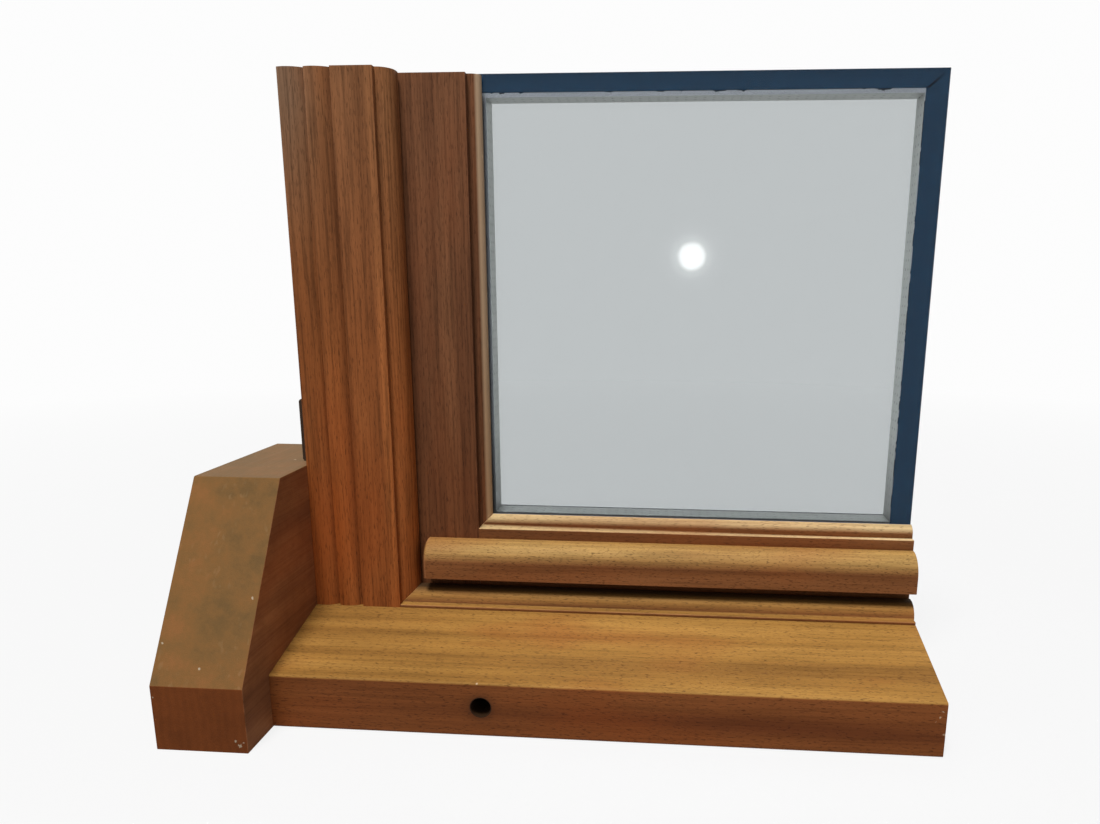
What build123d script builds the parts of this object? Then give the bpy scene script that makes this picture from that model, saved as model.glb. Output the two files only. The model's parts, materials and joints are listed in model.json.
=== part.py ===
from build123d import *
import os

os.makedirs("parts", exist_ok=True)

# Corner section of a double-glazed timber casement that opens inwards, on its support foot.
# X runs along the sill to the right, Y from the weather side inwards, Z up from the floor.
# The origin is on the floor, under the frame's weather face, halfway along the section.

# Overall
section_width = 420.0
timber_top = 410.5
lip_depth = 18.0
seal_gap = 2.0
sash_depth = 58.0
cut_ease = 0.6

# Frame jamb and its mouldings
jamb_face = 72.0
reed_radius = 17.0
reed_crest = 5.5
reed_width = 16.0
reed_gap = 1.2
reed_count = 2
frame_ledge = 4.0
frame_ovolo = 10.5

# Fit of the sash in its frame
sash_overlap = 12.0
sash_gap = 3.0

# Sill
sill_projection = 75.5
sill_front = 36.0
sill_back = 54.0
sill_seat = 34.0
sill_step = 8.0
sill_ease = 1.8
sill_drip_inset = 9.0
sill_drip_width = 7.0
sill_drip_depth = 4.0
drain_along = 136.0
drain_height = 20.0
drain_radius = 6.5
drain_riser_radius = 4.0

# Frame bottom rail
rail_fillet = 2.2
gutter_inset = 12.0
gutter_width = 12.0
gutter_depth = 6.0

# Frame corner joint
frame_tenon_length = 28.0
frame_tenon_width = 16.0
frame_tenon_inset = 34.0
frame_tenon_height = 11.0
frame_tenon_rise = 3.0
pin_radius = 4.0
pin_depth = 38.0
frame_pin_inset = 13.0

# Frame gasket
gasket_inset = 5.5
gasket_stem = 2.6
gasket_stem_depth = 5.0
gasket_bulb = 4.6
gasket_clearance = 0.3

# Sash stile and bottom rail
stile_flat = 55.0
rail_flat = 53.5
sash_ledge = 4.5
sash_ovolo = 8.5
sash_lip = 10.5
glazing_rebate = 17.0
arris = 1.2

# Sash corner joint
sash_tenon_width = 14.0
sash_tenon_inset = 16.0
sash_tenon_height = 30.0
sash_tenon_rise = 7.0
sash_pin_inset = 13.2
sash_pin_spread = 19.8
sash_pin_rise = 11.0

# Weather bar
bar_end_gap = 5.8
bar_height = 26.3
bar_projection = 16.6
bar_front = 11.3
bar_below_ledge = 7.2
bar_drip_inset = 3.6
bar_drip_width = 3.2
bar_drip_depth = 3.0
bar_tongue = 6.0
bar_tongue_height = 8.0
bar_end_ease = 1.5

# Glazing unit
pane_thickness = 4.0
cavity = 18.0
unit_side_gap = 4.5
block_thickness = 3.3
block_length = 50.0
block_inset = 45.0
unit_proud = 1.5
glass_arris = 0.5
seal_behind = 7.5
seal_width = 11.0
butyl_thickness = 0.5
spacer_depth = 6.5
spacer_wall = 0.8
key_leg = 26.0
key_clearance = 0.1
tape_thickness = 1.5
tape_height = 7.0

# Glazing beads
bead_gap = 0.3
bead_nose = 7.0

# Barrel hinges
hinge_height = 80.0
hinge_lower_rise = 55.0
hinge_upper_drop = 30.0
knuckle_radius = 7.0
hinge_pin_radius = 3.5
hinge_running_gap = 0.05
knuckle_gap = 0.4
leaf_thickness = 2.5
leaf_reach = 30.0
knuckle_clearance = 0.5
leaf_screw_rows = 2
leaf_screw_pitch = 50.0
leaf_screw_inset = 11.0
pin_head_height = 3.0
pin_head_radius = 5.5

# Screws
screw_radius = 2.0
screw_head_radius = 4.0
screw_length = 30.0
screw_clearance = 0.1

# Support foot and its cleat
foot_width = 58.0
foot_front = 107.5
foot_nose = 42.0
foot_height = 156.0
foot_slope_back = 38.5
foot_ease = 1.5
cleat_thickness = 9.0
cleat_height = 44.0
cleat_depth = 42.0
cleat_setback = 15.0
foot_screw_radius = 3.0
foot_screw_head = 6.5
foot_screw_head_height = 3.0
foot_screw_sink = 12.0
foot_screw_bite = 40.0
foot_screw_height = 110.0
foot_screw_sill_back = 38.0
foot_screw_back = 46.0

# Places that follow from the sizes
edge_x = -section_width / 2
cut_x = section_width / 2
frame_depth = lip_depth + seal_gap + sash_depth
lip_x = edge_x + jamb_face
frame_ledge_x = lip_x - frame_ovolo
rebate_x = lip_x - sash_overlap - sash_gap
rail_ledge_z = sill_back + rail_fillet
rail_top = rail_ledge_z + frame_ovolo
rail_floor = rail_top - sash_overlap - sash_gap
sash_y = lip_depth + seal_gap
sash_x = rebate_x + sash_gap
sash_low = rail_floor + sash_gap
sash_ledge_x = sash_x + stile_flat
sash_ledge_z = sash_low + rail_flat
sight_x = sash_ledge_x + sash_ovolo
sight_z = sash_ledge_z + sash_ovolo
glass_x = sight_x - glazing_rebate
glass_z = sight_z - glazing_rebate
sash_lip_y = sash_y + sash_lip
unit_x = glass_x + unit_side_gap
unit_z = glass_z + block_thickness
unit_top = timber_top + unit_proud
outer_y = sash_lip_y + tape_thickness
cavity_y = outer_y + pane_thickness
inner_y = cavity_y + cavity
unit_back = inner_y + pane_thickness
bead_y = unit_back + tape_thickness
spacer_outer = seal_behind
spacer_inner = seal_behind + spacer_depth
bar_top = sash_ledge_z - bar_below_ledge
bar_low = bar_top - bar_height
bar_x = lip_x + bar_end_gap
hinge_x = (rebate_x + sash_x) / 2
hinge_y = frame_depth + knuckle_radius - leaf_thickness
leaf_y = frame_depth - leaf_thickness
hinge_bottoms = {
    "lower": sash_low + hinge_lower_rise,
    "upper": timber_top - hinge_upper_drop - hinge_height,
}
drain_x = edge_x + drain_along
gutter_y = lip_depth + gutter_inset
far = section_width * 2


def ovolo(ledge, width, depth, upright):
    """Convex quarter-round moulding over its ledge point, of this width across the face and this depth.

    Upright, it is drawn in plan as (across, depth), and otherwise in end view as (depth, across).
    """
    radius = min(width, depth)
    stretch = [(0, 0), (width - radius, 0), (width, radius), (width, depth)]
    corners = [(ledge[0] + a, ledge[1] + d) if upright else (ledge[0] + d, ledge[1] + a) for a, d in stretch]
    if width > radius:
        Line(corners[0], corners[1])
    RadiusArc(corners[1], corners[2], -radius if upright else radius)
    if depth > radius:
        Line(corners[2], corners[3])


def mitred_side(ledge_x, ledge_z, side):
    """Region of the front view on one side of a moulding's mitre: right of it, or left of it."""
    reach = jamb_face
    edge = ledge_x + side * far
    with BuildSketch(Plane.XZ) as region:
        with BuildLine():
            Polyline(
                (ledge_x, -far),
                (ledge_x, ledge_z),
                (ledge_x + reach, ledge_z + reach),
                (edge, ledge_z + reach),
                (edge, -far),
                close=True,
            )
        make_face()
    return region.sketch


def ring_side(side, inset):
    """Region of the front view that holds one mitred side of the glazing unit's rim."""
    reach = spacer_inner + key_leg
    low, high, left, right = unit_z + inset, unit_top - inset, unit_x + inset, cut_x - inset
    corners = {
        "left": ((left, low), (left, high), (left + reach, high - reach), (left + reach, low + reach)),
        "right": ((right, low), (right, high), (right - reach, high - reach), (right - reach, low + reach)),
        "bottom": ((left, low), (right, low), (right - reach, low + reach), (left + reach, low + reach)),
        "top": ((left, high), (right, high), (right - reach, high - reach), (left + reach, high - reach)),
    }
    with BuildSketch(Plane.XZ) as region:
        with BuildLine():
            Polyline(*corners[side], close=True)
        make_face()
    return region.sketch


def rim_plane(side):
    """Plane whose x axis runs inwards from the unit's edge and whose y axis runs along +Y."""
    planes = {
        "left": Plane(origin=(unit_x, 0, 0), x_dir=(1, 0, 0), z_dir=(0, 0, 1)),
        "right": Plane(origin=(cut_x, 0, 0), x_dir=(-1, 0, 0), z_dir=(0, 0, -1)),
        "bottom": Plane(origin=(0, 0, unit_z), x_dir=(0, 0, 1), z_dir=(-1, 0, 0)),
        "top": Plane(origin=(0, 0, unit_top), x_dir=(0, 0, -1), z_dir=(1, 0, 0)),
    }
    return planes[side]


# Support foot: a sawn block with one long bevel, counterbored for its screws
foot_screw_places = [
    (foot_screw_back, foot_screw_height),
    (-foot_screw_sill_back, sill_seat / 2),
]
with BuildPart() as support_foot:
    with BuildSketch(Plane.YZ.offset(edge_x - foot_width)) as foot_side:
        with BuildLine():
            Polyline(
                (-foot_front, 0),
                (-foot_front, foot_nose),
                (-foot_slope_back, foot_height),
                (frame_depth, foot_height),
                (frame_depth, 0),
                close=True,
            )
        make_face()
    extrude(amount=foot_width)
    chamfer(support_foot.edges().filter_by(Axis.X).group_by(Axis.Z)[-1], length=cut_ease)
    fillet(support_foot.edges().filter_by(Axis.X).group_by(Axis.Z)[1], radius=foot_ease)
    for screw_y, screw_z in foot_screw_places:
        with Locations(Plane(origin=(edge_x - foot_width, screw_y, screw_z), z_dir=(1, 0, 0))):
            Cylinder(
                radius=foot_screw_radius + screw_clearance,
                height=foot_width,
                align=(Align.CENTER, Align.CENTER, Align.MIN),
                mode=Mode.SUBTRACT,
            )
            Cylinder(
                radius=foot_screw_head + screw_clearance,
                height=foot_screw_sink,
                align=(Align.CENTER, Align.CENTER, Align.MIN),
                mode=Mode.SUBTRACT,
            )
support_foot.part.label = "support_foot"
export_step(support_foot.part, "parts/support_foot.step")

with BuildPart() as foot_screws:
    for screw_y, screw_z in foot_screw_places:
        with Locations(
            Plane(origin=(edge_x - foot_width + foot_screw_sink, screw_y, screw_z), z_dir=(1, 0, 0))
        ):
            Cylinder(
                radius=foot_screw_radius,
                height=foot_width - foot_screw_sink + foot_screw_bite,
                align=(Align.CENTER, Align.CENTER, Align.MIN),
            )
            Cylinder(
                radius=foot_screw_head,
                height=foot_screw_head_height,
                align=(Align.CENTER, Align.CENTER, Align.MAX),
            )
foot_screws.part.label = "foot_screws"
export_step(foot_screws.part, "parts/foot_screws.step")

# Cleat: a dark packer that stands on the foot against the jamb's side
with BuildPart() as fixing_cleat:
    with Locations((edge_x - cleat_thickness / 2, cleat_setback + cleat_depth / 2, foot_height + cleat_height / 2)):
        Box(cleat_thickness, cleat_depth, cleat_height)
    chamfer(fixing_cleat.edges().filter_by(Axis.Y).group_by(Axis.X)[0], length=arris)
fixing_cleat.part.label = "fixing_cleat"
export_step(fixing_cleat.part, "parts/fixing_cleat.step")

# Frame jamb: two leaning reeds, a flat, then a quirked ovolo on the lip that the sash closes against
reed_pitch = reed_width + reed_gap
reed_shoulder = reed_radius - (reed_radius**2 - reed_crest**2) ** 0.5
reed_fall = reed_radius - (reed_radius**2 - (reed_width - reed_crest) ** 2) ** 0.5
flat_x = edge_x + reed_count * reed_pitch
gasket_x = lip_x - gasket_inset
gasket_z = rail_top - gasket_inset
tenon_z = sill_seat + frame_tenon_rise
frame_pin_places = [(rebate_x - frame_pin_inset, tenon_z + frame_tenon_height / 2)]
with BuildPart() as frame_jamb:
    with BuildSketch(Plane.XY.offset(sill_seat)) as jamb_section:
        with BuildLine():
            for reed in range(reed_count):
                reed_x = edge_x + reed * reed_pitch
                if reed:
                    Line((reed_x, reed_fall), (reed_x, reed_shoulder))
                ThreePointArc(
                    (reed_x, reed_shoulder), (reed_x + reed_crest, 0), (reed_x + reed_width, reed_fall)
                )
                Line((reed_x + reed_width, reed_fall), (reed_x + reed_pitch, reed_fall))
            Polyline((flat_x, reed_fall), (flat_x, 0), (frame_ledge_x, 0), (frame_ledge_x, frame_ledge))
            ovolo((frame_ledge_x, frame_ledge), frame_ovolo, lip_depth - frame_ledge, True)
            Polyline(
                (lip_x, lip_depth),
                (rebate_x, lip_depth),
                (rebate_x, frame_depth),
                (edge_x, frame_depth),
                (edge_x, reed_shoulder),
            )
        make_face()
    extrude(amount=timber_top - sill_seat)
    extrude(mitred_side(frame_ledge_x, rail_ledge_z, 1), amount=-lip_depth, mode=Mode.SUBTRACT)
    with Locations((edge_x, 0, sill_seat)):
        Box(
            jamb_face,
            sill_step,
            sill_back - sill_seat,
            align=(Align.MIN, Align.MIN, Align.MIN),
            mode=Mode.SUBTRACT,
        )
    with Locations((gasket_x, lip_depth, gasket_z - gasket_stem / 2)):
        Box(
            gasket_stem,
            gasket_stem_depth,
            timber_top,
            align=(Align.CENTER, Align.MAX, Align.MIN),
            mode=Mode.SUBTRACT,
        )
    with Locations((rebate_x, frame_tenon_inset, tenon_z)):
        Box(
            frame_tenon_length,
            frame_tenon_width,
            frame_tenon_height,
            align=(Align.MAX, Align.MIN, Align.MIN),
            mode=Mode.SUBTRACT,
        )
    for pin_x, pin_z in frame_pin_places:
        with Locations(Plane(origin=(pin_x, frame_depth, pin_z), z_dir=(0, -1, 0))):
            Cylinder(
                radius=pin_radius,
                height=pin_depth,
                align=(Align.CENTER, Align.CENTER, Align.MIN),
                mode=Mode.SUBTRACT,
            )
    for screw_y, screw_z in foot_screw_places[:1]:
        with Locations(Plane(origin=(edge_x, screw_y, screw_z), z_dir=(1, 0, 0))):
            Cylinder(
                radius=foot_screw_radius + screw_clearance,
                height=foot_screw_bite + screw_clearance,
                align=(Align.CENTER, Align.CENTER, Align.MIN),
                mode=Mode.SUBTRACT,
            )
    for hinge_z in hinge_bottoms.values():
        with Locations((rebate_x, frame_depth, hinge_z)):
            Box(
                leaf_reach,
                leaf_thickness,
                hinge_height,
                align=(Align.MAX, Align.MAX, Align.MIN),
                mode=Mode.SUBTRACT,
            )
        with Locations((hinge_x, hinge_y, hinge_z - pin_head_height - knuckle_gap)):
            Cylinder(
                radius=knuckle_radius + knuckle_clearance,
                height=hinge_height + pin_head_height + 2 * knuckle_gap,
                align=(Align.CENTER, Align.CENTER, Align.MIN),
                mode=Mode.SUBTRACT,
            )
        for row in range(leaf_screw_rows):
            screw_z = hinge_z + hinge_height / 2 + (row - (leaf_screw_rows - 1) / 2) * leaf_screw_pitch
            with Locations(
                Plane(origin=(rebate_x - leaf_reach + leaf_screw_inset, leaf_y, screw_z), z_dir=(0, -1, 0))
            ):
                Cylinder(
                    radius=screw_radius + screw_clearance,
                    height=screw_length,
                    align=(Align.CENTER, Align.CENTER, Align.MIN),
                    mode=Mode.SUBTRACT,
                )
frame_jamb.part.label = "frame_jamb"
export_step(frame_jamb.part, "parts/frame_jamb.step")

with BuildPart() as frame_pin:
    for pin_x, pin_z in frame_pin_places:
        with Locations(Plane(origin=(pin_x, frame_depth, pin_z), z_dir=(0, -1, 0))):
            Cylinder(radius=pin_radius, height=pin_depth, align=(Align.CENTER, Align.CENTER, Align.MIN))
frame_pin.part.label = "frame_pin"
export_step(frame_pin.part, "parts/frame_pin.step")

# Frame bottom rail: the jamb's moulding laid over the sill, with a rebate floor and a drained gutter
with BuildPart() as frame_bottom_rail:
    with BuildSketch(Plane.YZ.offset(rebate_x)) as rail_section:
        with BuildLine():
            Polyline(
                (sill_step, sill_seat),
                (sill_step, sill_back),
                (0, sill_back),
                (0, rail_ledge_z),
                (frame_ledge, rail_ledge_z),
            )
            ovolo((frame_ledge, rail_ledge_z), frame_ovolo, lip_depth - frame_ledge, False)
            Polyline(
                (lip_depth, rail_top),
                (lip_depth, rail_floor),
                (frame_depth, rail_floor),
                (frame_depth, sill_seat),
                (sill_step, sill_seat),
            )
        make_face()
    extrude(amount=cut_x - rebate_x)
    extrude(mitred_side(frame_ledge_x, rail_ledge_z, -1), amount=-lip_depth, mode=Mode.SUBTRACT)
    with Locations((rebate_x, frame_tenon_inset, tenon_z)):
        Box(
            frame_tenon_length,
            frame_tenon_width,
            frame_tenon_height,
            align=(Align.MAX, Align.MIN, Align.MIN),
        )
    with Locations((rebate_x, gutter_y, rail_floor)):
        Box(
            far,
            gutter_width,
            gutter_depth,
            align=(Align.MIN, Align.MIN, Align.MAX),
            mode=Mode.SUBTRACT,
        )
    with Locations((frame_ledge_x, lip_depth, gasket_z)):
        Box(
            far,
            gasket_stem_depth,
            gasket_stem,
            align=(Align.MIN, Align.MAX, Align.CENTER),
            mode=Mode.SUBTRACT,
        )
    with Locations((drain_x, gutter_y + gutter_width / 2, sill_seat)):
        Cylinder(
            radius=drain_riser_radius,
            height=rail_floor - sill_seat,
            align=(Align.CENTER, Align.CENTER, Align.MIN),
            mode=Mode.SUBTRACT,
        )
    for pin_x, pin_z in frame_pin_places:
        with Locations(Plane(origin=(pin_x, frame_depth, pin_z), z_dir=(0, -1, 0))):
            Cylinder(
                radius=pin_radius,
                height=pin_depth,
                align=(Align.CENTER, Align.CENTER, Align.MIN),
                mode=Mode.SUBTRACT,
            )
frame_bottom_rail.part.label = "frame_bottom_rail"
export_step(frame_bottom_rail.part, "parts/frame_bottom_rail.step")

# Sill: weathered nose with a drip groove, a raised step under the rail's fillet, and the drain
with BuildPart() as sill:
    with BuildSketch(Plane.YZ.offset(edge_x)) as sill_section:
        with BuildLine():
            Polyline(
                (-sill_projection, 0),
                (-sill_projection, sill_front),
                (0, sill_back),
                (sill_step, sill_back),
                (sill_step, sill_seat),
                (frame_depth, sill_seat),
                (frame_depth, 0),
                close=True,
            )
        make_face()
        with Locations((-sill_projection + sill_drip_inset, 0)):
            Rectangle(
                sill_drip_width,
                sill_drip_depth,
                align=(Align.MIN, Align.MIN),
                mode=Mode.SUBTRACT,
            )
    extrude(amount=section_width)
    front_edges = sill.edges().filter_by(Axis.X).group_by(Axis.Y)[0]
    fillet(front_edges, radius=sill_ease)
    with Locations(Plane(origin=(drain_x, -sill_projection, drain_height), z_dir=(0, 1, 0))):
        Cylinder(
            radius=drain_radius,
            height=sill_projection + gutter_y + gutter_width / 2 + drain_riser_radius,
            align=(Align.CENTER, Align.CENTER, Align.MIN),
            mode=Mode.SUBTRACT,
        )
    with Locations((drain_x, gutter_y + gutter_width / 2, drain_height)):
        Cylinder(
            radius=drain_riser_radius,
            height=sill_seat - drain_height,
            align=(Align.CENTER, Align.CENTER, Align.MIN),
            mode=Mode.SUBTRACT,
        )
    for screw_y, screw_z in foot_screw_places[1:]:
        with Locations(Plane(origin=(edge_x, screw_y, screw_z), z_dir=(1, 0, 0))):
            Cylinder(
                radius=foot_screw_radius + screw_clearance,
                height=foot_screw_bite + screw_clearance,
                align=(Align.CENTER, Align.CENTER, Align.MIN),
                mode=Mode.SUBTRACT,
            )
sill.part.label = "sill"
export_step(sill.part, "parts/sill.step")

# Frame gasket: stem in the lip's groove, bulb towards the sash, mitred at the corner
with BuildPart() as frame_gasket:
    with BuildSketch(Plane.XY.offset(gasket_z)) as gasket_upright:
        with Locations((gasket_x, lip_depth)):
            Rectangle(gasket_stem, gasket_stem_depth, align=(Align.CENTER, Align.MAX))
            Rectangle(gasket_bulb, seal_gap - gasket_clearance, align=(Align.CENTER, Align.MIN))
    extrude(amount=timber_top - gasket_z)
    with BuildSketch(Plane.YZ.offset(gasket_x)) as gasket_along:
        with Locations((lip_depth, gasket_z)):
            Rectangle(gasket_stem_depth, gasket_stem, align=(Align.MAX, Align.CENTER))
            Rectangle(seal_gap - gasket_clearance, gasket_bulb, align=(Align.MIN, Align.CENTER))
    extrude(amount=cut_x - gasket_x)
    with Locations((gasket_x, lip_depth, gasket_z)):
        Box(gasket_bulb, seal_gap - gasket_clearance, gasket_bulb, align=(Align.CENTER, Align.MIN, Align.CENTER))
        Box(gasket_stem, gasket_stem_depth, gasket_stem, align=(Align.CENTER, Align.MAX, Align.CENTER))
frame_gasket.part.label = "frame_gasket"
export_step(frame_gasket.part, "parts/frame_gasket.step")

# Sash stile: full height, with the glazing rebate behind its moulded lip
sash_tenon_y = sash_lip_y + sash_tenon_inset
sash_tenon_z = sash_low + sash_tenon_rise
sash_pin_places = [
    (sash_x + sash_pin_inset, sash_tenon_z + (sash_tenon_height - sash_pin_rise) / 2),
    (sash_x + sash_pin_inset + sash_pin_spread, sash_tenon_z + (sash_tenon_height + sash_pin_rise) / 2),
]
with BuildPart() as sash_stile:
    with BuildSketch(Plane.XY.offset(sash_low)) as stile_section:
        with BuildLine():
            Polyline((sash_x, sash_y), (sash_ledge_x, sash_y), (sash_ledge_x, sash_y + sash_ledge))
            ovolo((sash_ledge_x, sash_y + sash_ledge), sash_ovolo, sash_lip - sash_ledge, True)
            Polyline(
                (sight_x, sash_lip_y),
                (glass_x, sash_lip_y),
                (glass_x, frame_depth),
                (sash_x, frame_depth),
                (sash_x, sash_y),
            )
        make_face()
    extrude(amount=timber_top - sash_low)
    chamfer(sash_stile.edges().filter_by(Axis.Z).group_by(Axis.X)[0], length=arris)
    extrude(mitred_side(sash_ledge_x, sash_ledge_z, 1), amount=-sash_lip_y, mode=Mode.SUBTRACT)
    with Locations((sash_x, sash_tenon_y, sash_tenon_z)):
        Box(
            glass_x - sash_x,
            sash_tenon_width,
            sash_tenon_height,
            align=(Align.MIN, Align.MIN, Align.MIN),
            mode=Mode.SUBTRACT,
        )
    for pin_x, pin_z in sash_pin_places:
        with Locations(Plane(origin=(pin_x, frame_depth, pin_z), z_dir=(0, -1, 0))):
            Cylinder(
                radius=pin_radius,
                height=pin_depth,
                align=(Align.CENTER, Align.CENTER, Align.MIN),
                mode=Mode.SUBTRACT,
            )
    for hinge_z in hinge_bottoms.values():
        with Locations((sash_x, frame_depth, hinge_z)):
            Box(
                leaf_reach,
                leaf_thickness,
                hinge_height,
                align=(Align.MIN, Align.MAX, Align.MIN),
                mode=Mode.SUBTRACT,
            )
        with Locations((hinge_x, hinge_y, hinge_z - pin_head_height - knuckle_gap)):
            Cylinder(
                radius=knuckle_radius + knuckle_clearance,
                height=hinge_height + pin_head_height + 2 * knuckle_gap,
                align=(Align.CENTER, Align.CENTER, Align.MIN),
                mode=Mode.SUBTRACT,
            )
        for row in range(leaf_screw_rows):
            screw_z = hinge_z + hinge_height / 2 + (row - (leaf_screw_rows - 1) / 2) * leaf_screw_pitch
            with Locations(Plane(origin=(sash_x + leaf_reach - leaf_screw_inset, leaf_y, screw_z), z_dir=(0, -1, 0))):
                Cylinder(
                    radius=screw_radius + screw_clearance,
                    height=screw_length,
                    align=(Align.CENTER, Align.CENTER, Align.MIN),
                    mode=Mode.SUBTRACT,
                )
sash_stile.part.label = "sash_stile"
export_step(sash_stile.part, "parts/sash_stile.step")

with BuildPart() as sash_pins:
    for pin_x, pin_z in sash_pin_places:
        with Locations(Plane(origin=(pin_x, frame_depth, pin_z), z_dir=(0, -1, 0))):
            Cylinder(radius=pin_radius, height=pin_depth, align=(Align.CENTER, Align.CENTER, Align.MIN))
sash_pins.part.label = "sash_pins"
export_step(sash_pins.part, "parts/sash_pins.step")

# Sash bottom rail: tenoned through the stile, grooved in front for the weather bar
tongue_z = bar_low + (bar_front + bar_tongue_height) / 2
with BuildPart() as sash_bottom_rail:
    with BuildSketch(Plane.YZ.offset(glass_x)) as sash_rail_section:
        with BuildLine():
            Polyline((sash_y, sash_low), (sash_y, sash_ledge_z), (sash_y + sash_ledge, sash_ledge_z))
            ovolo((sash_y + sash_ledge, sash_ledge_z), sash_ovolo, sash_lip - sash_ledge, False)
            Polyline(
                (sash_lip_y, sight_z),
                (sash_lip_y, glass_z),
                (frame_depth, glass_z),
                (frame_depth, sash_low),
                (sash_y, sash_low),
            )
        make_face()
    extrude(amount=cut_x - glass_x)
    chamfer(
        sash_bottom_rail.edges().filter_by(Axis.X).group_by(Axis.Y)[-1].group_by(Axis.Z)[0],
        length=arris,
    )
    extrude(mitred_side(sash_ledge_x, sash_ledge_z, -1), amount=-sash_lip_y, mode=Mode.SUBTRACT)
    with Locations((sash_x, sash_tenon_y, sash_tenon_z)):
        Box(
            glass_x - sash_x,
            sash_tenon_width,
            sash_tenon_height,
            align=(Align.MIN, Align.MIN, Align.MIN),
        )
    with Locations((sash_ledge_x, sash_y, tongue_z)):
        Box(
            far,
            bar_tongue,
            bar_tongue_height,
            align=(Align.MIN, Align.MIN, Align.MAX),
            mode=Mode.SUBTRACT,
        )
    for pin_x, pin_z in sash_pin_places:
        with Locations(Plane(origin=(pin_x, frame_depth, pin_z), z_dir=(0, -1, 0))):
            Cylinder(
                radius=pin_radius,
                height=pin_depth,
                align=(Align.CENTER, Align.CENTER, Align.MIN),
                mode=Mode.SUBTRACT,
            )
sash_bottom_rail.part.label = "sash_bottom_rail"
export_step(sash_bottom_rail.part, "parts/sash_bottom_rail.step")

# Weather bar: quarter-round top over an upright front, drip groove beneath, tongue into the rail
with BuildPart() as weather_bar:
    with BuildSketch(Plane.YZ.offset(bar_x)) as bar_section:
        with BuildLine():
            Polyline(
                (sash_y, bar_top),
                (sash_y, bar_low),
                (sash_y - bar_projection, bar_low),
                (sash_y - bar_projection, bar_low + bar_front),
            )
            ovolo(
                (sash_y - bar_projection, bar_low + bar_front),
                bar_height - bar_front,
                bar_projection,
                False,
            )
        make_face()
        with Locations((sash_y - bar_projection + bar_drip_inset, bar_low)):
            Rectangle(
                bar_drip_width,
                bar_drip_depth,
                align=(Align.MIN, Align.MIN),
                mode=Mode.SUBTRACT,
            )
    extrude(amount=cut_x - bar_x)
    end_edges = weather_bar.faces().sort_by(Axis.X)[0].edges()
    chamfer(end_edges.filter_by(GeomType.CIRCLE), length=bar_end_ease)
    with Locations((sash_ledge_x, sash_y, tongue_z)):
        Box(
            cut_x - sash_ledge_x,
            bar_tongue,
            bar_tongue_height,
            align=(Align.MIN, Align.MIN, Align.MAX),
        )
weather_bar.part.label = "weather_bar"
export_step(weather_bar.part, "parts/weather_bar.step")

# Glass panes
for pane_name, pane_y in (("outer_pane", outer_y), ("inner_pane", inner_y)):
    with BuildPart() as pane:
        with Locations((unit_x, pane_y, unit_z)):
            Box(
                cut_x - unit_x,
                pane_thickness,
                unit_top - unit_z,
                align=(Align.MIN, Align.MIN, Align.MIN),
            )
        chamfer(pane.edges().filter_by(Axis.Y, reverse=True), length=glass_arris)
    pane.part.label = pane_name
    export_step(pane.part, f"parts/{pane_name}.step")

# Rim of the unit: hollow spacer bars with corner keys, and the seal poured behind them
for side in ("left", "right", "bottom", "top"):
    with BuildPart() as spacer:
        with BuildSketch(rim_plane(side)) as spacer_section:
            with Locations((spacer_outer, cavity_y + butyl_thickness)):
                Rectangle(spacer_depth, cavity - 2 * butyl_thickness, align=(Align.MIN, Align.MIN))
            with Locations((seal_width, cavity_y)):
                Rectangle(spacer_inner - seal_width, cavity, align=(Align.MIN, Align.MIN))
            with Locations((spacer_outer + spacer_wall, cavity_y + butyl_thickness + spacer_wall)):
                Rectangle(
                    spacer_depth - 2 * spacer_wall,
                    cavity - 2 * (butyl_thickness + spacer_wall),
                    align=(Align.MIN, Align.MIN),
                    mode=Mode.SUBTRACT,
                )
        extrude(amount=far, both=True)
        extrude(ring_side(side, spacer_outer), amount=far, both=True, mode=Mode.INTERSECT)
    spacer.part.label = f"spacer_{side}"
    export_step(spacer.part, f"parts/spacer_{side}.step")

    with BuildPart() as edge_seal:
        with BuildSketch(rim_plane(side)) as seal_section:
            with Locations((0, cavity_y)):
                Rectangle(seal_width, cavity, align=(Align.MIN, Align.MIN))
            with Locations((spacer_outer, cavity_y + butyl_thickness)):
                Rectangle(
                    spacer_depth,
                    cavity - 2 * butyl_thickness,
                    align=(Align.MIN, Align.MIN),
                    mode=Mode.SUBTRACT,
                )
        extrude(amount=far, both=True)
        extrude(ring_side(side, 0), amount=far, both=True, mode=Mode.INTERSECT)
    edge_seal.part.label = f"edge_seal_{side}"
    export_step(edge_seal.part, f"parts/edge_seal_{side}.step")

key_outer = spacer_outer + spacer_wall + key_clearance
key_inner = spacer_inner - spacer_wall - key_clearance
key_y = cavity_y + butyl_thickness + spacer_wall + key_clearance
key_width = cavity - 2 * (butyl_thickness + spacer_wall + key_clearance)
with BuildPart() as spacer_keys:
    for corner_x, way_x in ((unit_x, 1), (cut_x, -1)):
        for corner_z, way_z in ((unit_z, 1), (unit_top, -1)):
            with BuildSketch(Plane.XZ.offset(-key_y)) as key_outline:
                with BuildLine():
                    Polyline(
                        (corner_x + way_x * key_outer, corner_z + way_z * key_outer),
                        (corner_x + way_x * (key_outer + key_leg), corner_z + way_z * key_outer),
                        (corner_x + way_x * (key_outer + key_leg), corner_z + way_z * key_inner),
                        (corner_x + way_x * key_inner, corner_z + way_z * key_inner),
                        (corner_x + way_x * key_inner, corner_z + way_z * (key_outer + key_leg)),
                        (corner_x + way_x * key_outer, corner_z + way_z * (key_outer + key_leg)),
                        close=True,
                    )
                make_face()
            extrude(amount=-key_width)
spacer_keys.part.label = "spacer_keys"
export_step(spacer_keys.part, "parts/spacer_keys.step")

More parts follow.
